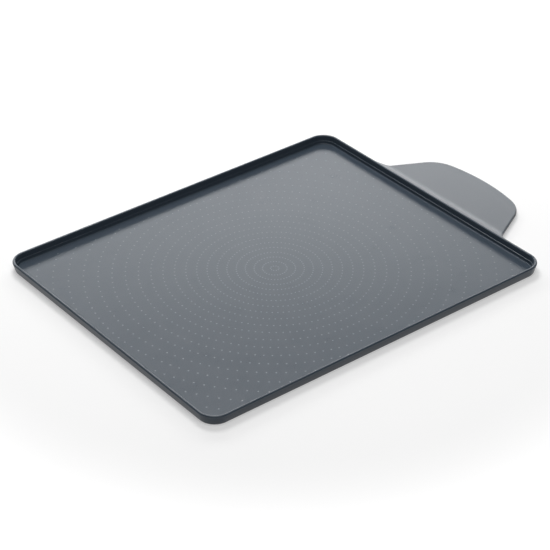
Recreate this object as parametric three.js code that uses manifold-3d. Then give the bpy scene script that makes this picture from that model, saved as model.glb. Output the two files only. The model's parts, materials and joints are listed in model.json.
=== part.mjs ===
// A shallow silicone mould for baking a flat sponge sheet.
// Millimetres, +Z up. The origin is the middle of the floor's underside, and the handle is on the +X end.
// The silicone is one moulding on the real thing: here it is divided where it bends, at the corners, round
// the floor panel and across the root of the handle.

import * as THREE from "three";
import { mergeVertices } from "three/addons/utils/BufferGeometryUtils.js";
import Module from "manifold-3d";

const wasm = await Module();
wasm.setup();

// Tray
const rimLength = 365;
const rimWidth = 299;
const trayHeight = 10;
const floorThickness = 1.6;
const rimCornerRadius = 17;

// Section of the wall
const rimThickness = 2.5;
const rimRound = 1.15;
const outerDraft = 2.2;
const baseRound = 2.4;
const upperFaceLean = 0.25;
const ledgeHeight = 4.8;
const ledgeWidth = 0.5;
const ledgeFall = 0.2;
const lowerFaceLean = 0.35;
const footLand = 2.7;

// Floor: a stiffer middle panel inside a border that stretches when the panel is pushed up
const flexBorder = 46;

// Handle, in plan and in section
const handleOffset = -10.2;
const handleReach = 60;
const handleRootHalfWidth = 82;
const handleSplay = THREE.MathUtils.degToRad(27.3);
const handleEndRadius = 193;
const handleCornerRadius = 32;
const handleFlareRadius = 25;
const handleThickness = 3;
const handleLift = 2.5;
const rampRun = 10.5;
const hingeLand = 0.6;

// Gap between pieces that touch on the real thing
const fitGap = 0.3;

// Facets
const roundSteps = 4;
const cornerSteps = 8;
const outlineSteps = 8;
const mergeDistance = 1e-4;

// Places that follow from the sizes above
const halfLength = rimLength / 2;
const halfWidth = rimWidth / 2;
const upperFoot = rimThickness + upperFaceLean;
const ledgeNose = upperFoot + ledgeWidth;
const wallFoot = ledgeNose + lowerFaceLean;
const wallEdge = wallFoot + footLand;
const outerFaceTop = trayHeight - rimRound;
const handleTop = handleLift + handleThickness;
const hingeLevel = handleLift + handleThickness / 2;
const rootEnd = rampRun + hingeLand;
const hingeRun = rootEnd + fitGap + handleThickness / 2;

const silicone = { color: 0x6d747c, roughness: 0.62, metalness: 0 };
const siliconeHandle = { color: 0x7c838b, roughness: 0.6, metalness: 0 };

// Solids and meshes

function solidOf(geometry) {
  const bare = geometry.clone();
  bare.deleteAttribute("normal");
  bare.deleteAttribute("uv");
  const merged = mergeVertices(bare, mergeDistance);
  const vertProperties = new Float32Array(merged.getAttribute("position").array);
  const triVerts = new Uint32Array(merged.index.array);
  return new wasm.Manifold(new wasm.Mesh({ numProp: 3, vertProperties, triVerts }));
}

function geometryOf(solid) {
  const mesh = solid.getMesh();
  const geometry = new THREE.BufferGeometry();
  geometry.setAttribute("position", new THREE.BufferAttribute(mesh.vertProperties, 3));
  geometry.setIndex(new THREE.BufferAttribute(mesh.triVerts, 1));
  geometry.computeVertexNormals();
  return geometry;
}

function piece(name, geometry, finish) {
  const mesh = new THREE.Mesh(geometry, new THREE.MeshStandardMaterial(finish));
  mesh.name = name;
  return mesh;
}

// A flat outline raised from one level to another.
function upright(shape, low, high, curveSegments = outlineSteps) {
  const depth = high - low;
  const geometry = new THREE.ExtrudeGeometry(shape, { depth, bevelEnabled: false, curveSegments });
  return geometry.translate(0, 0, low);
}

// A section drawn as (across, height), run along Y and centred on it.
function alongY(shape, length, curveSegments = roundSteps) {
  const geometry = new THREE.ExtrudeGeometry(shape, { depth: length, bevelEnabled: false, curveSegments });
  geometry.rotateX(Math.PI / 2);
  return geometry.translate(0, length / 2, 0);
}

// Wall and rim

// The wall's section: across is measured inwards from the outside of the rim, height from the base.
function wallSection() {
  const section = new THREE.Shape();
  section.moveTo(outerDraft + baseRound, 0);
  section.lineTo(wallEdge, 0);
  section.lineTo(wallEdge, floorThickness);
  section.lineTo(wallFoot, floorThickness);
  section.lineTo(ledgeNose, ledgeHeight - ledgeFall);
  section.lineTo(upperFoot, ledgeHeight);
  section.lineTo(rimThickness, outerFaceTop);
  section.absarc(rimThickness - rimRound, outerFaceTop, rimRound, 0, Math.PI / 2, false);
  section.lineTo(rimRound, trayHeight);
  section.absarc(rimRound, outerFaceTop, rimRound, Math.PI / 2, Math.PI, false);
  section.lineTo(outerDraft, baseRound);
  section.absarc(outerDraft + baseRound, baseRound, baseRound, Math.PI, Math.PI * 1.5, false);
  return section;
}

function wall(name, length, turn) {
  const mesh = piece(name, alongY(wallSection(), length), silicone);
  mesh.rotation.z = turn;
  return mesh;
}

// A section turned round a corner's centre, where across becomes the distance in from the corner's radius.
function turned(points) {
  const profile = points.map((p) => new THREE.Vector2(rimCornerRadius - p.x, p.y)).reverse();
  profile.push(profile[0].clone());
  return new THREE.LatheGeometry(profile, cornerSteps * 4).rotateX(Math.PI / 2);
}

function corner(name, turn) {
  const ring = solidOf(turned(wallSection().getPoints(roundSteps)));
  const side = rimCornerRadius + fitGap;
  const quadrant = new THREE.BoxGeometry(side, side, trayHeight * 2);
  quadrant.translate((side + fitGap) / 2, (side + fitGap) / 2, 0);
  const mesh = piece(name, geometryOf(ring.intersect(solidOf(quadrant))), silicone);
  mesh.rotation.z = turn;
  return mesh;
}

// Floor

function roundedRectangle(halfX, halfY, radius) {
  const shape = new THREE.Shape();
  shape.absarc(halfX - radius, halfY - radius, radius, 0, Math.PI / 2, false);
  shape.absarc(radius - halfX, halfY - radius, radius, Math.PI / 2, Math.PI, false);
  shape.absarc(radius - halfX, radius - halfY, radius, Math.PI, Math.PI * 1.5, false);
  shape.absarc(halfX - radius, radius - halfY, radius, Math.PI * 1.5, Math.PI * 2, false);
  return shape;
}

const floorHalfLength = halfLength - wallEdge - fitGap;
const floorHalfWidth = halfWidth - wallEdge - fitGap;
const floorCornerRadius = rimCornerRadius - wallEdge - fitGap;

// One side of the floor's border, mitred at both ends and drawn with its outer edge towards +X.
function mitredStrip(halfAcross, halfAlong) {
  const inner = halfAcross - flexBorder + fitGap / 2;
  const mitreGap = fitGap * Math.SQRT1_2;
  const innerAlong = halfAlong - flexBorder + fitGap / 2 - mitreGap;
  const shape = new THREE.Shape();
  shape.moveTo(inner, -innerAlong);
  shape.lineTo(halfAcross, mitreGap - halfAlong);
  shape.lineTo(halfAcross, halfAlong - mitreGap);
  shape.lineTo(inner, innerAlong);
  return shape;
}

function floorStrip(name, halfAcross, halfAlong, turn) {
  const outline = roundedRectangle(halfAcross, halfAlong, floorCornerRadius);
  const plate = upright(outline, 0, floorThickness, cornerSteps / 2);
  const cut = upright(mitredStrip(halfAcross, halfAlong), -floorThickness, floorThickness * 2);
  const mesh = piece(name, geometryOf(solidOf(plate).intersect(solidOf(cut))), silicone);
  mesh.rotation.z = turn;
  return mesh;
}

function floorPanel() {
  const length = (floorHalfLength - flexBorder - fitGap / 2) * 2;
  const width = (floorHalfWidth - flexBorder - fitGap / 2) * 2;
  const plate = new THREE.BoxGeometry(length, width, floorThickness);
  return piece("floor_panel", plate.translate(0, 0, floorThickness / 2), silicone);
}

// Handle, drawn with run as the distance out from the rim and the other way along the rim

// The tab's outline: flared out of the rim, straight slanting sides, round corners and a bowed end.
function handleOutline() {
  const out = new THREE.Vector2(Math.cos(handleSplay), -Math.sin(handleSplay));
  const normal = new THREE.Vector2(Math.sin(handleSplay), Math.cos(handleSplay));
  const flareLength = handleFlareRadius * Math.tan((Math.PI / 2 - handleSplay) / 2);
  const flareStart = handleRootHalfWidth + flareLength;
  const flareTurn = Math.PI * 1.5 - handleSplay;
  const endCentre = handleReach - handleEndRadius;

  const offsetLine = new THREE.Vector2(0, handleRootHalfWidth).addScaledVector(normal, -handleCornerRadius);
  offsetLine.x -= endCentre;
  const along = offsetLine.dot(out);
  const inside = (handleEndRadius - handleCornerRadius) ** 2 - offsetLine.lengthSq();
  const cornerCentre = offsetLine.clone().addScaledVector(out, Math.sqrt(along * along + inside) - along);
  const cornerTurn = cornerCentre.angle();
  cornerCentre.x += endCentre;
  const sideTurn = normal.angle();

  const shape = new THREE.Shape();
  shape.moveTo(-rimThickness, flareStart);
  shape.lineTo(0, flareStart);
  shape.absarc(handleFlareRadius, flareStart, handleFlareRadius, Math.PI, flareTurn, false);
  shape.absarc(cornerCentre.x, cornerCentre.y, handleCornerRadius, sideTurn, cornerTurn, true);
  shape.absarc(endCentre, 0, handleEndRadius, cornerTurn, -cornerTurn, true);
  shape.absarc(cornerCentre.x, -cornerCentre.y, handleCornerRadius, -cornerTurn, -sideTurn, true);
  shape.absarc(handleFlareRadius, -flareStart, handleFlareRadius, -flareTurn, -Math.PI, false);
  shape.lineTo(-rimThickness, -flareStart);
  return shape;
}

const outlineSpan = (handleRootHalfWidth + handleFlareRadius) * 2;
const outlineSolid = solidOf(upright(handleOutline(), -trayHeight, trayHeight * 2));

// How far the wall's outer face lies inside the rim's edge at a height.
function outerFaceInset(height) {
  return (outerDraft * (outerFaceTop - height)) / (outerFaceTop - baseRound);
}

// The web that carries the tab: a ramp from the rim's edge down to the tab, flat underneath.
function handleRoot() {
  const section = new THREE.Shape();
  section.moveTo(fitGap - outerFaceInset(handleLift), handleLift);
  section.lineTo(rootEnd, handleLift);
  section.lineTo(rootEnd, handleTop);
  section.lineTo(rampRun, handleTop);
  section.lineTo(fitGap, outerFaceTop);
  const web = solidOf(alongY(section, outlineSpan));
  return piece("handle_root", geometryOf(web.intersect(outlineSolid)), siliconeHandle);
}

// The tab, with a half-round inner end about the line it bends on.
function handleTab() {
  const beyond = handleReach + handleThickness;
  const section = new THREE.Shape();
  section.moveTo(beyond, handleTop);
  section.lineTo(hingeRun, handleTop);
  section.absarc(hingeRun, hingeLevel, handleThickness / 2, Math.PI / 2, Math.PI * 1.5, false);
  section.lineTo(beyond, handleLift);
  const plate = solidOf(alongY(section, outlineSpan));
  return piece("handle_tab", geometryOf(plate.intersect(outlineSolid)), siliconeHandle);
}

// Assembly

const tray = new THREE.Group();

const ends = [
  { name: "free_end", outward: [-1, 0], turn: 0 },
  { name: "front", outward: [0, -1], turn: Math.PI / 2 },
  { name: "handle_end", outward: [1, 0], turn: Math.PI },
  { name: "back", outward: [0, 1], turn: -Math.PI / 2 },
];
for (const { name, outward, turn } of ends) {
  const alongX = outward[0] === 0;
  const span = alongX ? rimLength : rimWidth;
  const side = wall("wall_" + name, span - rimCornerRadius * 2 - fitGap, turn);
  side.position.set(outward[0] * halfLength, outward[1] * halfWidth, 0);
  const halfAcross = alongX ? floorHalfWidth : floorHalfLength;
  const halfAlong = alongX ? floorHalfLength : floorHalfWidth;
  tray.add(side, floorStrip("floor_flex_" + name, halfAcross, halfAlong, turn + Math.PI));
}

const corners = [
  { name: "back_handle", sign: [1, 1], turn: 0 },
  { name: "back_free", sign: [-1, 1], turn: Math.PI / 2 },
  { name: "front_free", sign: [-1, -1], turn: Math.PI },
  { name: "front_handle", sign: [1, -1], turn: -Math.PI / 2 },
];
for (const { name, sign, turn } of corners) {
  const bend = corner("corner_" + name, turn);
  bend.position.set(sign[0] * (halfLength - rimCornerRadius), sign[1] * (halfWidth - rimCornerRadius), 0);
  tray.add(bend);
}

tray.add(floorPanel());

const handle = new THREE.Group();
handle.position.set(halfLength, handleOffset, 0);
handle.add(handleRoot(), handleTab());
tray.add(handle);

export default tray;
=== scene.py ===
"""Looks of a shallow silicone mould for a sponge sheet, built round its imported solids.

Metres, +Z up, in the frame of the solids: the origin is the middle of the floor's underside, and the handle
is on the +X end.
"""

import json
import logging
import math
from collections.abc import Callable, Iterator, Sequence
from contextlib import contextmanager
from dataclasses import dataclass
from enum import Enum
from functools import cached_property

import bmesh
import bpy
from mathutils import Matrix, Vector

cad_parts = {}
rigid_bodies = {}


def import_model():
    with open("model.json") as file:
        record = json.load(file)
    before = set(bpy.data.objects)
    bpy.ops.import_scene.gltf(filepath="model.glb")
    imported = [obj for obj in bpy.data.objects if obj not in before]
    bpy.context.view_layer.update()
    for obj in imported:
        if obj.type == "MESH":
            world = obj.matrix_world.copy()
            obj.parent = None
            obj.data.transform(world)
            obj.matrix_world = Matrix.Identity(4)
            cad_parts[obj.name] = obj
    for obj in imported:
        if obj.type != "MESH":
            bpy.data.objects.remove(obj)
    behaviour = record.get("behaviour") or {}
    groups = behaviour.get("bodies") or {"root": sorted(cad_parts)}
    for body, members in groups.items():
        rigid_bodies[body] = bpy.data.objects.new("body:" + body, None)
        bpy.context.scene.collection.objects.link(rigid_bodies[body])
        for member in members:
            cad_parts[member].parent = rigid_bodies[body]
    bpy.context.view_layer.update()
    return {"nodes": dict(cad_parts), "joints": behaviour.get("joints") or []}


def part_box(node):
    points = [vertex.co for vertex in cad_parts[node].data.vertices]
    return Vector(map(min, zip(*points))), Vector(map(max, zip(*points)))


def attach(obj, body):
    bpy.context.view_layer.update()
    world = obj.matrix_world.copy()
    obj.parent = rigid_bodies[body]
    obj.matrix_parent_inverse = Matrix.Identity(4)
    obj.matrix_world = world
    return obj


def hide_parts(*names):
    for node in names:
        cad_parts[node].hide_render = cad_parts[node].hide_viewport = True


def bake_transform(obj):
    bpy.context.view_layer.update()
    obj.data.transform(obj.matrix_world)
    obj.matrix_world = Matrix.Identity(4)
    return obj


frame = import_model()

log = logging.getLogger("sponge_mould")

MM = 0.001
CUT_THRESHOLD = 1e-6
LEVEL = 0.999

Colour = tuple[float, float, float]
Point = tuple[float, float]


class Body(Enum):
    """The bodies that the pieces move with."""

    TRAY = "tray"
    FLOOR = "floor"
    HANDLE = "handle"


class Slot(Enum):
    """The record's material slots."""

    TRAY = "tray_silicone"
    HANDLE = "handle_silicone"


class Side(Enum):
    """The sides of the tray, each with the way that it faces."""

    FREE_END = (-1, 0)
    FRONT = (0, -1)
    HANDLE_END = (1, 0)
    BACK = (0, 1)

    @property
    def label(self) -> str:
        """The side's name as the solids' names end."""
        return self.name.lower()


class Value:
    """A shader value that takes part in Python arithmetic by adding Math nodes."""

    def __init__(self, board: "NodeBoard", socket: bpy.types.NodeSocket) -> None:
        """Wrap one output socket of a board's node."""
        self.board = board
        self.socket = socket

    def _math(self, operation: str, first: "Value | float", second: "Value | float") -> "Value":
        """Add a Math node.

        Args:
            operation: the Math node's operation.
            first: the left side.
            second: the right side.

        Returns:
            The node's result.
        """
        return self.board.add("ShaderNodeMath", {"operation": operation}, {0: first, 1: second})

    def __add__(self, other: "Value | float") -> "Value":
        """Add another value or number."""
        return self._math("ADD", self, other)

    def __radd__(self, other: float) -> "Value":
        """Add this value to a number."""
        return self._math("ADD", other, self)

    def __sub__(self, other: "Value | float") -> "Value":
        """Take another value or number away."""
        return self._math("SUBTRACT", self, other)

    def __rsub__(self, other: float) -> "Value":
        """Take this value away from a number."""
        return self._math("SUBTRACT", other, self)

    def __mul__(self, other: "Value | float") -> "Value":
        """Multiply by another value or number."""
        return self._math("MULTIPLY", self, other)

    def __rmul__(self, other: float) -> "Value":
        """Multiply a number by this value."""
        return self._math("MULTIPLY", other, self)


class NodeBoard:
    """The node tree of one material or of the world."""

    def __init__(self, tree: bpy.types.NodeTree) -> None:
        """Take over a node tree and empty it."""
        self.tree = tree
        self.tree.nodes.clear()

    def add(
        self,
        kind: str,
        settings: dict[str, object] | None = None,
        inputs: dict[int | str, object] | None = None,
        output: int | str = 0,
    ) -> Value:
        """Add one node.

        Args:
            kind: the node's type.
            settings: the node's own options, set before its sockets.
            inputs: a value or a link for each named or numbered socket.
            output: the socket to hand back.

        Returns:
            The chosen output, ready for arithmetic.
        """
        node = self.tree.nodes.new(kind)
        for name, setting in (settings or {}).items():
            setattr(node, name, setting)
        for name, given in (inputs or {}).items():
            if isinstance(given, Value):
                self.tree.links.new(given.socket, node.inputs[name])
            else:
                node.inputs[name].default_value = given
        return Value(self, node.outputs[output] if node.outputs else None)

    def finish(self, shader: Value, kind: str = "ShaderNodeOutputMaterial") -> None:
        """Send a shader to the tree's output."""
        self.add(kind, inputs={"Surface": shader})

    def mix_colours(self, share: Value, first: Colour, second: Colour) -> Value:
        """Mix two colours.

        Args:
            share: how much of the second colour shows, from 0 to 1.
            first: the colour at 0.
            second: the colour at 1.

        Returns:
            The mixed colour.
        """
        return self.add(
            "ShaderNodeMix",
            {"data_type": "RGBA", "clamp_factor": True},
            {"Factor": share, 6: (*first, 1.0), 7: (*second, 1.0)},
            output=2,
        )

    def noise(self, where: Value, scale: float, detail: float) -> Value:
        """Add a noise pattern.

        Args:
            where: the coordinates that it is read at.
            scale: its waves per metre.
            detail: how many finer layers it has.

        Returns:
            The pattern, about 0.5 on average.
        """
        return self.add("ShaderNodeTexNoise", None, {"Vector": where, "Scale": scale, "Detail": detail})


def new_material(name: str) -> tuple[bpy.types.Material, NodeBoard]:
    """Make an empty node material and its board."""
    material = bpy.data.materials.new(name)
    material.use_nodes = True
    return material, NodeBoard(material.node_tree)


@dataclass(frozen=True)
class SiliconeFinish:
    """Matt moulded silicone: a clouded grey with a fine grain from the mould's blasted face.

    Attributes:
        name: the material's name.
        deep: the colour in the darker clouds.
        pale: the colour in the paler clouds.
        roughness: the middle roughness.
        grain_height: how deep the grain is.
        cloud_scale: colour clouds per metre.
        cloud_detail: finer layers in the clouds.
        cloud_share: how much of the colour's change is the clouds', and not the grain's.
        grain_scale: grains per metre.
        grain_detail: finer layers in the grain.
        roughness_spread: how far the clouds and the grain change the roughness.
        refraction: the index of refraction of silicone.
    """

    name: str
    deep: Colour
    pale: Colour
    roughness: float
    grain_height: float = 0.035 * MM
    cloud_scale: float = 38.0
    cloud_detail: float = 4.0
    cloud_share: float = 0.8
    grain_scale: float = 2400.0
    grain_detail: float = 2.0
    roughness_spread: float = 0.05
    refraction: float = 1.41

    def material(self) -> bpy.types.Material:
        """Build the finish as a material."""
        material, board = new_material(self.name)
        place = board.add("ShaderNodeTexCoord", output="Object")
        clouds = board.noise(place, self.cloud_scale, self.cloud_detail)
        grain = board.noise(place, self.grain_scale, self.grain_detail)
        shade = clouds * self.cloud_share + grain * (1 - self.cloud_share)
        colour = board.mix_colours(shade, self.deep, self.pale)
        roughness = (clouds + grain - 1.0) * self.roughness_spread + self.roughness
        bump = board.add(
            "ShaderNodeBump", None, {"Strength": 1.0, "Distance": self.grain_height, "Height": grain}
        )
        shader = board.add(
            "ShaderNodeBsdfPrincipled",
            None,
            {"Base Color": colour, "Roughness": roughness, "IOR": self.refraction, "Normal": bump},
        )
        board.finish(shader)
        return material


def select_only(piece: bpy.types.Object) -> None:
    """Make one object the active one and the only one selected."""
    bpy.ops.object.select_all(action="DESELECT")
    piece.select_set(True)
    bpy.context.view_layer.objects.active = piece


@contextmanager
def editing(piece: bpy.types.Object) -> Iterator[None]:
    """Open a piece in edit mode with nothing selected, and close it again."""
    select_only(piece)
    bpy.ops.object.mode_set(mode="EDIT")
    bpy.ops.mesh.select_all(action="DESELECT")
    yield
    bpy.ops.object.mode_set(mode="OBJECT")


def pick_faces(piece: bpy.types.Object, wanted: Callable[[bmesh.types.BMFace], bool]) -> None:
    """Select only the faces that pass a test, in edit mode."""
    bpy.ops.mesh.select_mode(type="FACE")
    bpy.ops.mesh.select_all(action="DESELECT")
    for face in [face for face in bmesh.from_edit_mesh(piece.data).faces if wanted(face)]:
        face.select_set(True)
    bmesh.update_edit_mesh(piece.data)


def pick_edges(piece: bpy.types.Object, wanted: Callable[[bmesh.types.BMEdge], bool]) -> None:
    """Select only the edges that pass a test, in edit mode."""
    bpy.ops.mesh.select_mode(type="EDGE")
    bpy.ops.mesh.select_all(action="DESELECT")
    for edge in [edge for edge in bmesh.from_edit_mesh(piece.data).edges if wanted(edge)]:
        edge.select_set(True)
    bmesh.update_edit_mesh(piece.data)


def pick_points(piece: bpy.types.Object, wanted: Callable[[Vector], bool]) -> None:
    """Select only the points whose place passes a test, in edit mode."""
    bpy.ops.mesh.select_mode(type="VERT")
    bpy.ops.mesh.select_all(action="DESELECT")
    for point in [point for point in bmesh.from_edit_mesh(piece.data).verts if wanted(point.co)]:
        point.select_set(True)
    bmesh.update_edit_mesh(piece.data)


def face_up(face: bmesh.types.BMFace) -> bool:
    """Tell whether a face looks straight up."""
    return face.normal.z > LEVEL


def face_down(face: bmesh.types.BMFace) -> bool:
    """Tell whether a face looks straight down."""
    return face.normal.z < -LEVEL


def cut(piece: bpy.types.Object, place: Sequence[float], facing: Sequence[float], drop: bool) -> None:
    """Cut a whole piece on a plane.

    Args:
        piece: the piece.
        place: a point on the plane.
        facing: the plane's normal.
        drop: whether the side that the normal points to goes, and the cut is closed.
    """
    with editing(piece):
        bpy.ops.mesh.select_all(action="SELECT")
        bpy.ops.mesh.bisect(
            plane_co=place, plane_no=facing, use_fill=drop, clear_outer=drop, threshold=CUT_THRESHOLD
        )


def apply_modifier(piece: bpy.types.Object, kind: str, **settings: object) -> None:
    """Add one modifier to a piece, with its settings, and apply it."""
    select_only(piece)
    modifier = piece.modifiers.new(kind.title(), kind)
    for name, setting in settings.items():
        setattr(modifier, name, setting)
    bpy.ops.object.modifier_apply(modifier=modifier.name)


def copy_of(piece: bpy.types.Object, name: str) -> bpy.types.Object:
    """Copy a piece, with a mesh of its own, under a new name."""
    select_only(piece)
    bpy.ops.object.duplicate()
    made = bpy.context.view_layer.objects.active
    made.name = name
    made.data.name = name
    return made


def smooth(piece: bpy.types.Object, angle: float) -> None:
    """Shade a piece smooth, apart from edges sharper than an angle in degrees."""
    select_only(piece)
    bpy.ops.object.shade_smooth_by_angle(angle=math.radians(angle))


def dress(piece: bpy.types.Object, *materials: bpy.types.Material) -> None:
    """Give a piece its materials in order of their slots."""
    piece.data.materials.clear()
    for material in materials:
        piece.data.materials.append(material)


def rounded(corners: Sequence[tuple[float, float, float]], steps: int) -> list[Point]:
    """Round the corners of an open line.

    Args:
        corners: each corner as two coordinates and a radius, which is 0 where it stays sharp.
        steps: segments in each round.

    Returns:
        The points of the rounded line.
    """
    points: list[Point] = []
    for index, (across, up, radius) in enumerate(corners):
        here = Vector((across, up))
        if radius == 0:
            points.append((across, up))
            continue
        back = (Vector(corners[index - 1][:2]) - here).normalized()
        ahead = (Vector(corners[index + 1][:2]) - here).normalized()
        half_angle = back.angle(ahead) / 2
        middle = here + (back + ahead).normalized() * (radius / math.sin(half_angle))
        reach = radius / math.tan(half_angle)
        spoke = here + back * reach - middle
        turn = spoke.angle_signed(here + ahead * reach - middle)
        for step in range(steps + 1):
            angle = -turn * step / steps
            along = Vector((
                spoke.x * math.cos(angle) - spoke.y * math.sin(angle),
                spoke.x * math.sin(angle) + spoke.y * math.cos(angle),
            ))
            points.append(tuple(middle + along))
    return points


@dataclass
class TrayShell:
    """The four walls, their rim and the round corners, as one closed ring of silicone.

    Attributes:
        half_length: half the rim's length.
        half_width: half the rim's width.
        height: the rim's height.
        floor_top: the height of the floor's upper face.
        corner_radius: the radius of the rim's corners, seen from above.
        corner_steps: segments in each corner.
        round_steps: segments in each round of the section.
        rim_thickness: the wall's thickness at the rim.
        rim_round: the radius of the rim's two edges.
        side_band: the upright band under the rim's outer round.
        outer_draft: how far the outer face leans in on its way down.
        base_round: the radius of the outer foot.
        upper_foot: how far in the inner face is where it meets the ledge.
        ledge_height: the height of the ledge's root.
        ledge_nose: how far in the ledge's nose is.
        ledge_fall: how far the ledge falls from its root to its nose.
        ledge_root_round: the radius in the ledge's root.
        ledge_nose_round: the radius of the ledge's nose.
        wall_foot: how far in the inner face is where it meets the floor.
        foot_round: the radius between the inner face and the floor.
        seam: how far in the ring ends and the floor's sheet starts.
        crease: the angle in degrees of the edges that stay sharp.
    """

    half_length: float
    half_width: float
    height: float
    floor_top: float
    corner_radius: float = 17 * MM
    corner_steps: int = 18
    round_steps: int = 5
    rim_thickness: float = 2.5 * MM
    rim_round: float = 1.15 * MM
    side_band: float = 0.2 * MM
    outer_draft: float = 2.2 * MM
    base_round: float = 2.4 * MM
    upper_foot: float = 2.75 * MM
    ledge_height: float = 4.8 * MM
    ledge_nose: float = 3.35 * MM
    ledge_fall: float = 0.2 * MM
    ledge_root_round: float = 0.18 * MM
    ledge_nose_round: float = 0.28 * MM
    wall_foot: float = 3.6 * MM
    foot_round: float = 0.9 * MM
    seam: float = 8.0 * MM
    crease: float = 40.0

    @classmethod
    def from_frame(cls) -> "TrayShell":
        """Take the tray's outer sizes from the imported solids."""
        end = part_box("wall_handle_end")
        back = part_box("wall_back")
        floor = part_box("floor_panel")
        return cls(end[1].x, back[1].y, end[1].z, floor[1].z)

    @property
    def rim_edge(self) -> float:
        """The height where the rim's outer round starts."""
        return self.height - self.rim_round

    def inside(self) -> list[Point]:
        """Trace the section over the rim, down the inner wall and its ledge and onto the floor."""
        corners = [
            (0, self.rim_edge, 0),
            (0, self.height, self.rim_round),
            (self.rim_thickness, self.height, self.rim_round),
            (self.upper_foot, self.ledge_height, self.ledge_root_round),
            (self.ledge_nose, self.ledge_height - self.ledge_fall, self.ledge_nose_round),
            (self.wall_foot, self.floor_top, self.foot_round),
            (self.seam, self.floor_top, 0),
        ]
        return rounded(corners, self.round_steps)

    def outside(self) -> list[Point]:
        """Trace the section down the outer wall and under its foot to the floor's underside."""
        corners = [
            (0, self.rim_edge - self.side_band, 0),
            (self.outer_draft, 0, self.base_round),
            (self.seam, 0, 0),
        ]
        return rounded(corners, self.round_steps)

    @staticmethod
    def step_in(section: Sequence[Point]) -> None:
        """Inset the selected face along a section, one step for each of its points."""
        for (across, up), (next_across, next_up) in zip(section, section[1:]):
            if math.hypot(next_across - across, next_up - up) < CUT_THRESHOLD:
                continue
            bpy.ops.mesh.inset(thickness=next_across - across, depth=0)
            bpy.ops.transform.translate(value=(0, 0, next_up - up))

    def build(self) -> tuple[bpy.types.Object, bpy.types.Object]:
        """Model the ring.

        Returns:
            The ring, and the flat face of the floor inside it.
        """
        bpy.ops.object.select_all(action="DESELECT")
        bpy.ops.mesh.primitive_cube_add(size=2, location=(0, 0, self.rim_edge - self.side_band / 2))
        shell = bpy.context.view_layer.objects.active
        shell.name = "tray_shell"
        shell.scale = (self.half_length, self.half_width, self.side_band / 2)
        bpy.ops.object.transform_apply(location=True, rotation=True, scale=True)
        known = set(bpy.data.objects)
        with editing(shell):
            pick_edges(shell, lambda edge: abs(edge.verts[0].co.z - edge.verts[1].co.z) > self.side_band / 2)
            bpy.ops.mesh.bevel(
                offset=self.corner_radius, segments=self.corner_steps, affect="EDGES", clamp_overlap=False
            )
            pick_faces(shell, face_up)
            self.step_in(self.inside())
            bpy.ops.mesh.duplicate()
            bpy.ops.mesh.separate(type="SELECTED")
            pick_faces(shell, face_down)
            self.step_in(self.outside())
            pick_faces(shell, lambda face: len(face.verts) > 4)
            bpy.ops.mesh.delete(type="ONLY_FACE")
            pick_edges(shell, lambda edge: edge.is_boundary)
            bpy.ops.mesh.bridge_edge_loops()
            bpy.ops.mesh.select_all(action="SELECT")
            bpy.ops.mesh.normals_make_consistent(inside=False)
        floor_face = (set(bpy.data.objects) - known).pop()
        smooth(shell, self.crease)
        return shell, floor_face

    def finish(self, shell: bpy.types.Object, material: bpy.types.Material) -> None:
        """Dress the ring and fix it to the tray's body, in place of the walls and corners."""
        dress(shell, material)
        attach(shell, Body.TRAY.value)
        nodes = [name for name in frame["nodes"] if name.startswith(("wall_", "corner_"))]
        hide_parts(*nodes)


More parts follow.
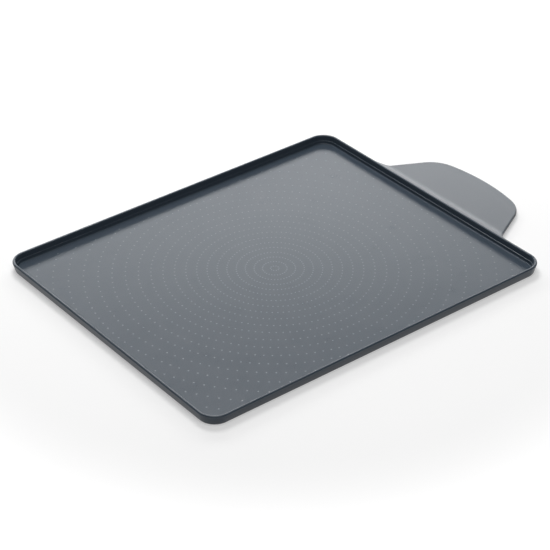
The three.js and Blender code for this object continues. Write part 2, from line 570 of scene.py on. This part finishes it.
@dataclass
class DotRings:
    """The raised dots on the floor, in rings round its middle that widen outwards.

    Attributes:
        floor_top: the height that the dots stand on.
        first_radius: the radius of the innermost ring.
        ring_total: how many rings there are.
        first_pitch: how far apart the rings are in the middle.
        pitch_growth: how much further apart each ring is than the last.
        first_spacing: how far apart the dots are in the middle.
        spacing_growth: how much further apart they are for each unit of radius.
        first_diameter: the diameter of a dot in the middle.
        diameter_growth: how much wider a dot is for each unit of radius.
        last_diameter: the widest diameter.
        rise_share: how far a dot stands up, as a share of its diameter.
        sink_share: how far it is sunk in the floor, as a share of its diameter.
        ring_turn: how far each ring is turned from the last, in radians.
        sides: the sides of a dot.
        dome_rings: the rings of the sphere that a dot is cut from.
    """

    floor_top: float
    first_radius: float = 3.65 * MM
    ring_total: int = 22
    first_pitch: float = 7.0 * MM
    pitch_growth: float = 0.036
    first_spacing: float = 2.1 * MM
    spacing_growth: float = 0.038
    first_diameter: float = 1.5 * MM
    diameter_growth: float = 0.003
    last_diameter: float = 2.1 * MM
    rise_share: float = 0.03
    sink_share: float = 0.045
    ring_turn: float = 2.4
    sides: int = 10
    dome_rings: int = 4

    @property
    def growth_start(self) -> float:
        """How far below zero the radii's geometric growth starts."""
        return self.first_pitch / self.pitch_growth

    @cached_property
    def rings(self) -> list[tuple[float, int, float]]:
        """List each ring's radius, its count of dots and the angle of its first dot."""
        found = []
        for index in range(self.ring_total):
            grown = (self.first_radius + self.growth_start) * (1 + self.pitch_growth) ** index
            radius = grown - self.growth_start
            spacing = self.first_spacing + self.spacing_growth * radius
            count = round(math.tau * radius / spacing)
            found.append((radius, count, self.ring_turn * index % (math.tau / count)))
        return found

    def centre_near(self, place: Vector) -> Vector:
        """Find the middle of the dot that a point belongs to."""
        angle = math.atan2(place.y, place.x)
        grown = (place.xy.length + self.growth_start) / (self.first_radius + self.growth_start)
        index = round(math.log(grown) / math.log(1 + self.pitch_growth))
        radius, count, start = self.rings[min(max(index, 0), self.ring_total - 1)]
        step = math.tau / count
        nearest = start + round((angle - start) / step) * step
        return Vector((radius * math.cos(nearest), radius * math.sin(nearest), self.floor_top))

    def add_ring(self, radius: float, count: int, start: float) -> None:
        """Add one ring to the open object: a dome is shaped and spun round the floor's middle.

        Args:
            radius: the ring's radius.
            count: how many dots it has.
            start: the angle of the first one.
        """
        diameter = min(self.first_diameter + self.diameter_growth * radius, self.last_diameter)
        rise = diameter * self.rise_share
        sink = diameter * self.sink_share
        base = self.floor_top - sink
        middle = (radius * math.cos(start), radius * math.sin(start), base)
        half = diameter / 2
        bpy.ops.mesh.select_all(action="DESELECT")
        bpy.ops.mesh.primitive_uv_sphere_add(
            segments=self.sides,
            ring_count=self.dome_rings,
            radius=1,
            location=middle,
            scale=(half, half, rise + sink),
        )
        bpy.ops.mesh.bisect(
            plane_co=middle, plane_no=(0, 0, -1), use_fill=True, clear_outer=True, threshold=CUT_THRESHOLD
        )
        bpy.ops.mesh.select_linked()
        bpy.ops.mesh.spin(
            steps=count - 1,
            dupli=True,
            angle=math.tau * (count - 1) / count,
            center=(0, 0, 0),
            axis=(0, 0, 1),
        )

    def build(self) -> bpy.types.Object:
        """Model every ring of dots as one object."""
        bpy.ops.object.select_all(action="DESELECT")
        bpy.ops.mesh.primitive_plane_add(size=MM)
        dots = bpy.context.view_layer.objects.active
        dots.name = "floor_dots"
        with editing(dots):
            bpy.ops.mesh.select_all(action="SELECT")
            bpy.ops.mesh.delete(type="VERT")
            for radius, count, start in self.rings:
                self.add_ring(radius, count, start)
        return dots


@dataclass
class FloorSheet:
    """The floor: a middle panel, and a border on each side between it and the walls.

    Attributes:
        half_length: half the length between the seams with the walls.
        half_width: half the width between the seams with the walls.
        thickness: the sheet's thickness.
        border: the width of the border that stretches.
        still_edge: the strip of the border beside the walls that stays still.
        rows: how many strips each border bends in.
        dot_margin: how far the dots keep from the edge of the sheet.
        crease: the angle in degrees of the edges that stay sharp.
    """

    half_length: float
    half_width: float
    thickness: float
    border: float = 44.6 * MM
    still_edge: float = 2.0 * MM
    rows: int = 14
    dot_margin: float = 3.0 * MM
    crease: float = 60.0

    @property
    def panel_half_length(self) -> float:
        """Half the panel's length."""
        return self.half_length - self.border

    @property
    def panel_half_width(self) -> float:
        """Half the panel's width."""
        return self.half_width - self.border

    def side_of(self, place: Vector) -> Side | None:
        """Tell which side's border a point lies on, or None where it lies on the panel."""
        beyond_length = abs(place.x) - self.panel_half_length
        beyond_width = abs(place.y) - self.panel_half_width
        if max(beyond_length, beyond_width) <= 0:
            return None
        if beyond_length >= beyond_width:
            return Side.HANDLE_END if place.x > 0 else Side.FREE_END
        return Side.BACK if place.y > 0 else Side.FRONT

    def holds(self, place: Vector) -> bool:
        """Tell whether a dot at a place stands clear of the walls."""
        inside_length = abs(place.x) < self.half_length - self.dot_margin
        return inside_length and abs(place.y) < self.half_width - self.dot_margin

    def trim_border(self, piece: bpy.types.Object, side: Side) -> None:
        """Cut a copy of the whole sheet down to one side's border, and score the rows that it bends on.

        Args:
            piece: the copy.
            side: the side that stays.
        """
        outward = Vector((*side.value, 0))
        reach = self.panel_half_length if side.value[0] else self.panel_half_width
        cut(piece, outward * reach, -outward, drop=True)
        sideways = Vector((-outward.y, outward.x, 0))
        for sign in (1, -1):
            along = sideways * sign
            corner = Vector((
                (outward.x + along.x) * self.panel_half_length,
                (outward.y + along.y) * self.panel_half_width,
                0,
            ))
            cut(piece, corner, along - outward, drop=True)
        for row in range(1, self.rows):
            cut(piece, outward * (reach + self.border * row / self.rows), outward, drop=False)

    def add_dots(
        self, piece: bpy.types.Object, dots: bpy.types.Object, pattern: DotRings, side: Side | None
    ) -> None:
        """Join the dots that stand on a piece of the floor to it.

        Args:
            piece: the panel or a border.
            dots: every dot as one object.
            pattern: where the dots stand.
            side: the border's side, or None for the panel.
        """
        chosen = copy_of(dots, piece.name + "_dots")
        with editing(chosen):
            pick_points(chosen, lambda place: not self.stands_on(pattern.centre_near(place), side))
            bpy.ops.mesh.delete(type="VERT")
        select_only(piece)
        chosen.select_set(True)
        bpy.ops.object.join()

    def stands_on(self, place: Vector, side: Side | None) -> bool:
        """Tell whether a dot at a place belongs to one piece of the floor."""
        return self.holds(place) and self.side_of(place) == side

    def build(
        self,
        face: bpy.types.Object,
        pattern: DotRings,
        sheet_material: bpy.types.Material,
        dot_material_painted_sheen: bpy.types.Material,
    ) -> list[bpy.types.Object]:
        """Model and dress the panel and the borders.

        Args:
            face: the flat face of the floor inside the walls.
            pattern: where the dots stand.
            sheet_material: the finish of the sheet.
            dot_material_painted_sheen: the finish of the dots, paler than the floor's, partly as painted
                sheen for the highlights on their domes.

        Returns:
            The panel and the four borders.
        """
        apply_modifier(face, "SOLIDIFY", thickness=self.thickness, offset=-1.0)
        dress(face, sheet_material)
        dots = pattern.build()
        dress(dots, dot_material_painted_sheen)
        pieces = []
        for side in Side:
            border = copy_of(face, "floor_border_" + side.label)
            self.trim_border(border, side)
            self.add_dots(border, dots, pattern, side)
            smooth(border, self.crease)
            self.stretch(border, side)
            pieces.append(border)
        for side in Side:
            outward = Vector((*side.value, 0))
            reach = self.panel_half_length if side.value[0] else self.panel_half_width
            cut(face, outward * reach, outward, drop=True)
        face.name = "floor_middle"
        self.add_dots(face, dots, pattern, None)
        smooth(face, self.crease)
        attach(face, Body.FLOOR.value)
        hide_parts("floor_panel")
        pieces.append(face)
        bpy.data.objects.remove(dots)
        return pieces

    def stretch(self, border: bpy.types.Object, side: Side) -> None:
        """Bake a border's place into its mesh and hide the solid that it stands in for."""
        outward = Vector((*side.value, 0))
        reach = self.panel_half_length if side.value[0] else self.panel_half_width
        fixed = outward * (reach + self.border - self.still_edge)
        outward * reach
        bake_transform(border)
        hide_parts("floor_flex_" + side.label)


@dataclass
class HandleSkin:
    """The handle: a wide flat tab with flared roots that climbs a ramp onto the rim.

    It is drawn with X as the run out from the rim's outer edge and Y from its own middle line.

    Attributes:
        rim_edge: the X place of the rim's outer edge.
        middle: the Y place of the handle's middle line.
        underside: the height of its underside.
        top: the height of the tab's upper face.
        reach: how far it stands out from the rim.
        rim_top: the height of the rim.
        hinge_run: how far out the line that it bends on lies; not used.
        root_half_width: half the width at the rim, without the flares.
        splay: how far each side leans in.
        end_radius: the radius of the bowed end.
        corner_radius: the radius of the two outer corners.
        flare_radius: the radius of the flares at the root.
        flare_sink: how far inside the rim's edge the flares run out.
        drawn_root: where the outline is first drawn from.
        cut_root: where it is then cut off, inside the wall.
        crest: where the ramp is highest.
        crest_drop: how far the crest stays under the rim.
        ramp_foot: where the ramp ends on the tab.
        straight_share: the share of the ramp that is straight before it hollows out.
        buried_drop: how far the face falls from the crest into the wall.
        edge_round: the radius of the tab's edges.
        edge_steps: segments in that round.
        flat_margin: the rim of faces that keeps the flat faces flat.
        row_spacing: how far apart the rows are that the root bends on.
        rows_end: where those rows end.
        bend_half: half the run that the bend is spread over; not used.
        arc_steps: segments in each flare and corner.
        end_steps: segments in half of the end.
        side_limit: the steepness under which a face belongs to the tab's edge.
        crease: the angle in degrees of the edges that stay sharp.
    """

    rim_edge: float
    middle: float
    underside: float
    top: float
    reach: float
    rim_top: float
    hinge_run: float
    root_half_width: float = 82 * MM
    splay: float = math.radians(27.3)
    end_radius: float = 193 * MM
    corner_radius: float = 32 * MM
    flare_radius: float = 25 * MM
    flare_sink: float = 1.7 * MM
    drawn_root: float = -12 * MM
    cut_root: float = -2.3 * MM
    crest: float = -0.3 * MM
    crest_drop: float = 0.4 * MM
    ramp_foot: float = 11.5 * MM
    straight_share: float = 0.5
    buried_drop: float = 1.0 * MM
    edge_round: float = 1.1 * MM
    edge_steps: int = 4
    flat_margin: float = 0.8 * MM
    row_spacing: float = 0.7 * MM
    rows_end: float = 25 * MM
    bend_half: float = 9 * MM
    arc_steps: int = 24
    end_steps: int = 40
    side_limit: float = 0.9
    crease: float = 40.0

    @classmethod
    def from_frame(cls) -> "HandleSkin":
        """Take the handle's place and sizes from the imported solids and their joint."""
        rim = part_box("wall_handle_end")
        low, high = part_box("handle_tab")
        hinge = next(joint for joint in frame["joints"] if joint["name"] == "handle_bend")
        return cls(
            rim_edge=rim[1].x,
            middle=(low.y + high.y) / 2,
            underside=low.z,
            top=high.z,
            reach=high.x - rim[1].x,
            rim_top=rim[1].z,
            hinge_run=hinge["pos_m"][0] - rim[1].x,
        )

    def spin(self, centre: Vector, angle: float, steps: int) -> None:
        """Draw an arc from the selected point, clockwise where the angle is positive."""
        middle = (centre.x, centre.y, self.underside)
        bpy.ops.mesh.spin(steps=steps, angle=angle, center=middle, axis=(0, 0, 1))

    @staticmethod
    def line_to(piece: bpy.types.Object, place: Vector) -> None:
        """Draw a straight line from the selected point to a place on the same level."""
        here = next(point for point in bmesh.from_edit_mesh(piece.data).verts if point.select).co
        move = (place.x - here.x, place.y - here.y, 0)
        bpy.ops.mesh.extrude_vertices_move(TRANSFORM_OT_translate={"value": move})

    def draw_half(self, tab: bpy.types.Object) -> None:
        """Draw and fill one half of the outline: the root, the flare, the side, the corner and the end."""
        out = Vector((math.cos(self.splay), -math.sin(self.splay)))
        outside = Vector((math.sin(self.splay), math.cos(self.splay)))
        side_root = Vector((-self.flare_sink, self.root_half_width + self.flare_sink * math.tan(self.splay)))
        flare_turn = math.pi / 2 - self.splay
        flare_start = side_root + Vector((0, self.flare_radius * math.tan(flare_turn / 2)))
        end_centre = Vector((self.reach - self.end_radius, 0))
        inner_line = Vector((0, self.root_half_width)) - outside * self.corner_radius - end_centre
        along = inner_line.dot(out)
        spare = (self.end_radius - self.corner_radius) ** 2 - inner_line.length_squared
        corner_arm = inner_line + out * (math.sqrt(along * along + spare) - along)
        corner_centre = corner_arm + end_centre
        end_turn = math.atan2(corner_arm.y, corner_arm.x)
        side_turn = math.atan2(outside.y, outside.x)
        with editing(tab):
            bpy.ops.mesh.select_all(action="SELECT")
            bpy.ops.mesh.merge(type="CENTER")
            self.line_to(tab, Vector((self.drawn_root, flare_start.y)))
            self.line_to(tab, flare_start)
            self.spin(flare_start + Vector((self.flare_radius, 0)), -flare_turn, self.arc_steps)
            self.line_to(tab, corner_centre + outside * self.corner_radius)
            self.spin(corner_centre, side_turn - end_turn, self.arc_steps)
            self.spin(end_centre, end_turn, self.end_steps)
            bpy.ops.mesh.select_all(action="SELECT")
            bpy.ops.mesh.edge_face_add()
            if next(iter(bmesh.from_edit_mesh(tab.data).faces)).normal.z < 0:
                bpy.ops.mesh.flip_normals()

    def ramp_share(self, run: float) -> float:
        """Give the ramp's height, 1 at its crest and 0 at its foot: straight, then hollowed to level."""
        slope = 2 / (1 + self.straight_share)
        if run < self.straight_share:
            return 1 - run * slope
        return (1 - min(run, 1)) ** 2 * slope / (2 - 2 * self.straight_share)

    def is_outline(self, edge: bmesh.types.BMEdge) -> bool:
        """Tell whether an edge lies between a flat face of the tab and its side."""
        return sum(abs(face.normal.z) > self.side_limit for face in edge.link_faces) == 1

    def raise_ramp(self, tab: bpy.types.Object) -> None:
        """Lift the upper face at the root in a ramp onto the rim."""
        group = tab.vertex_groups.new(name="ramp")
        rise = self.rim_top - self.crest_drop - self.top
        level = (self.underside + self.top) / 2
        for point in tab.data.vertices:
            if point.co.z < level:
                continue
            lift = self.ramp_share(max((point.co.x - self.crest) / (self.ramp_foot - self.crest), 0))
            if point.co.x < self.crest:
                lift -= self.buried_drop / rise * (self.crest - point.co.x) / (self.crest - self.cut_root)
            group.add([point.index], lift, "REPLACE")
        apply_modifier(tab, "DISPLACE", direction="Z", mid_level=0.0, strength=rise, vertex_group="ramp")
        tab.vertex_groups.clear()

    def build(self) -> bpy.types.Object:
        """Model the handle."""
        bpy.ops.object.select_all(action="DESELECT")
        bpy.ops.mesh.primitive_plane_add(size=MM, location=(self.drawn_root, 0, self.underside))
        tab = bpy.context.view_layer.objects.active
        tab.name = "handle_skin"
        bpy.ops.object.transform_apply(location=True, rotation=True, scale=True)
        self.draw_half(tab)
        sides = (False, True, False)
        apply_modifier(tab, "MIRROR", use_axis=sides, use_clip=True, merge_threshold=CUT_THRESHOLD)
        apply_modifier(tab, "SOLIDIFY", thickness=self.top - self.underside, offset=1.0)
        with editing(tab):
            pick_edges(tab, self.is_outline)
            bpy.ops.mesh.bevel(
                offset=self.edge_round, segments=self.edge_steps, affect="EDGES", clamp_overlap=False
            )
            for flat in (face_up, face_down):
                pick_faces(tab, flat)
                bpy.ops.mesh.inset(thickness=self.flat_margin, depth=0)
        cut(tab, (self.cut_root, 0, 0), (-1, 0, 0), drop=True)
        run = self.crest
        while run < self.rows_end:
            cut(tab, (run, 0, 0), (1, 0, 0), drop=False)
            run += self.row_spacing
        self.raise_ramp(tab)
        with editing(tab):
            bpy.ops.mesh.select_all(action="SELECT")
            bpy.ops.transform.translate(value=(self.rim_edge, self.middle, 0))
        smooth(tab, self.crease)
        return tab

    def finish(self, tab: bpy.types.Object, material: bpy.types.Material) -> None:
        """Dress the handle and bake its place into its mesh, in place of its two solids."""
        # The handle's material is paler than the tray's as painted sheen.
        dress(tab, material)
        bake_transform(tab)
        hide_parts("handle_root", "handle_tab")


@dataclass(frozen=True)
class Softbox:
    """A soft rectangular lamp that faces the object.

    Attributes:
        name: the lamp's name.
        azimuth: its direction round the object, where 0 is in front.
        elevation: its direction above the floor.
        distance: how far it hangs from the object.
        width: its width.
        height: its height.
        power: its power in watts.
    """

    name: str
    azimuth: float
    elevation: float
    distance: float
    width: float
    height: float
    power: float


@dataclass
class Studio:
    """The camera, the soft lights and the pale floor.

    Attributes:
        target: the point that the camera and the lamps face.
        camera_azimuth: the camera's direction round the object, where 0 is in front.
        camera_elevation: the camera's direction above the floor.
        camera_distance: how far the camera is from the target.
        focal_pixels: the focal length in pixels of the picture.
        frame_pixels: the picture's width in pixels.
        sensor: the width of the camera's sensor in millimetres.
        lamps: the soft lamps.
        ambient: the strength of the light from all round.
        floor_size: the side of the floor.
        floor_colour: the colour of the floor's paper.
        near_glow: how white the floor is to the eye near the object.
        glow_start: how far from the middle the floor starts to whiten.
        glow_end: how far from the middle it is white.
    """

    target: tuple[float, float, float] = (-14.457 * MM, -18.547 * MM, 10 * MM)
    camera_azimuth: float = -38.499
    camera_elevation: float = 33.431
    camera_distance: float = 1.6868
    focal_pixels: float = 1954.85
    frame_pixels: int = 550
    sensor: float = 36.0
    lamps: tuple[Softbox, ...] = (
        Softbox("key_softbox", 155.0, 62.5, 1.2, 0.5, 0.5, 6.7),
        Softbox("sheen_card", 147.0, 26.0, 1.6, 2.4, 0.38, 14.0),
        Softbox("low_card", 147.0, 5.5, 1.6, 2.4, 0.3, 8.0),
        Softbox("front_fill", -30.0, 66.0, 1.8, 1.2, 1.2, 11.0),
    )
    ambient: float = 0.06
    floor_size: float = 60.0
    floor_colour: Colour = (0.66, 0.66, 0.66)
    near_glow: float = 0.38
    glow_start: float = 0.26
    glow_end: float = 0.5

    @staticmethod
    def direction(azimuth: float, elevation: float) -> Vector:
        """Give the way from the object to a viewer or lamp, where azimuth 0 is in front of it."""
        turn = math.radians(azimuth)
        rise = math.radians(elevation)
        return Vector((math.sin(turn) * math.cos(rise), -math.cos(turn) * math.cos(rise), math.sin(rise)))

    def aim(self, thing: bpy.types.Object, back: Vector, distance: float) -> None:
        """Place a camera or lamp at a distance from the target and turn it to face it."""
        thing.location = Vector(self.target) + back * distance
        thing.rotation_mode = "QUATERNION"
        thing.rotation_quaternion = (-back).to_track_quat("-Z", "Y")
        bpy.context.scene.collection.objects.link(thing)

    def place_camera(self) -> None:
        """Set the camera where the photograph was taken from."""
        lens = bpy.data.cameras.new("camera")
        lens.sensor_width = self.sensor
        lens.lens = self.focal_pixels / self.frame_pixels * self.sensor
        camera = bpy.data.objects.new("camera", lens)
        back = self.direction(self.camera_azimuth, self.camera_elevation)
        self.aim(camera, back, self.camera_distance)
        bpy.context.scene.camera = camera

    def place_lights(self) -> None:
        """Hang the soft lamps round the object, with a little light from everywhere."""
        for box in self.lamps:
            lamp = bpy.data.lights.new(box.name, "AREA")
            lamp.shape = "RECTANGLE"
            lamp.size = box.width
            lamp.size_y = box.height
            lamp.energy = box.power
            back = self.direction(box.azimuth, box.elevation)
            self.aim(bpy.data.objects.new(box.name, lamp), back, box.distance)
        world = bpy.data.worlds.new("studio")
        world.use_nodes = True
        board = NodeBoard(world.node_tree)
        light = board.add("ShaderNodeBackground", None, {"Color": (1, 1, 1, 1), "Strength": self.ambient})
        board.finish(light, "ShaderNodeOutputWorld")
        bpy.context.scene.world = world

    def floor_material(self) -> bpy.types.Material:
        """Build the floor's finish: white to the eye, and plain pale paper to the light."""
        material, board = new_material("pale_floor")
        place = board.add("ShaderNodeTexCoord", output="Object")
        radius = board.add("ShaderNodeVectorMath", {"operation": "LENGTH"}, {0: place}, output="Value")
        glow = board.add(
            "ShaderNodeMapRange",
            {"interpolation_type": "SMOOTHSTEP"},
            {
                "Value": radius,
                "From Min": self.glow_start,
                "From Max": self.glow_end,
                "To Min": self.near_glow,
                "To Max": 1.0,
            },
        )
        kinds = ("Is Camera Ray", "Is Glossy Ray", "Is Transmission Ray")
        seen, mirrored, through = (board.add("ShaderNodeLightPath", output=kind) for kind in kinds)
        paper = board.add("ShaderNodeBsdfDiffuse", None, {"Color": (*self.floor_colour, 1.0)})
        light = board.add("ShaderNodeEmission", None, {"Strength": glow * (seen + mirrored + through)})
        board.finish(board.add("ShaderNodeAddShader", None, {0: paper, 1: light}))
        return material

    def lay_floor(self) -> None:
        """Lay the pale floor under the object."""
        bpy.ops.object.select_all(action="DESELECT")
        bpy.ops.mesh.primitive_plane_add(size=self.floor_size)
        floor = bpy.context.view_layer.objects.active
        floor.name = "studio_floor"
        dress(floor, self.floor_material())

    def build(self) -> None:
        """Set up the camera, the lights, the floor and the view transform."""
        self.place_camera()
        self.place_lights()
        self.lay_floor()
        bpy.context.scene.view_settings.view_transform = "Standard"


TRAY_FINISH = SiliconeFinish("tray_silicone", (0.047, 0.066, 0.089), (0.059, 0.078, 0.102), 0.29)
# The dots' paler colour is partly painted sheen: it stands in for the highlights that their domes catch.
DOT_FINISH_PAINTED_SHEEN = SiliconeFinish("dot_silicone", (0.172, 0.200, 0.232), (0.197, 0.225, 0.257), 0.20)
# The handle's colour is a paler copy of the tray's: painted sheen, standing in for the brighter sheen on the
# tab.
HANDLE_FINISH_PAINTED_SHEEN = SiliconeFinish("handle_silicone", (0.072, 0.089, 0.109), (0.085, 0.102, 0.123), 0.30)


def report(piece: bpy.types.Object) -> None:
    """Log a piece's name and how many faces it has."""
    log.info("%s: %d faces", piece.name, len(piece.data.polygons))


def main() -> None:
    """Build the studio, the tray, the floor and the handle."""
    logging.basicConfig(level=logging.INFO, format="%(message)s")
    Studio().build()
    tray_material = TRAY_FINISH.material()

    shell_maker = TrayShell.from_frame()
    shell, floor_face = shell_maker.build()
    shell_maker.finish(shell, tray_material)
    report(shell)

    sheet = FloorSheet(
        half_length=shell_maker.half_length - shell_maker.seam,
        half_width=shell_maker.half_width - shell_maker.seam,
        thickness=shell_maker.floor_top,
    )
    pattern = DotRings(shell_maker.floor_top)
    for piece in sheet.build(floor_face, pattern, tray_material, DOT_FINISH_PAINTED_SHEEN.material()):
        report(piece)

    handle_maker = HandleSkin.from_frame()
    handle = handle_maker.build()
    handle_maker.finish(handle, HANDLE_FINISH_PAINTED_SHEEN.material())
    report(handle)


if __name__ == "__main__":
    main()
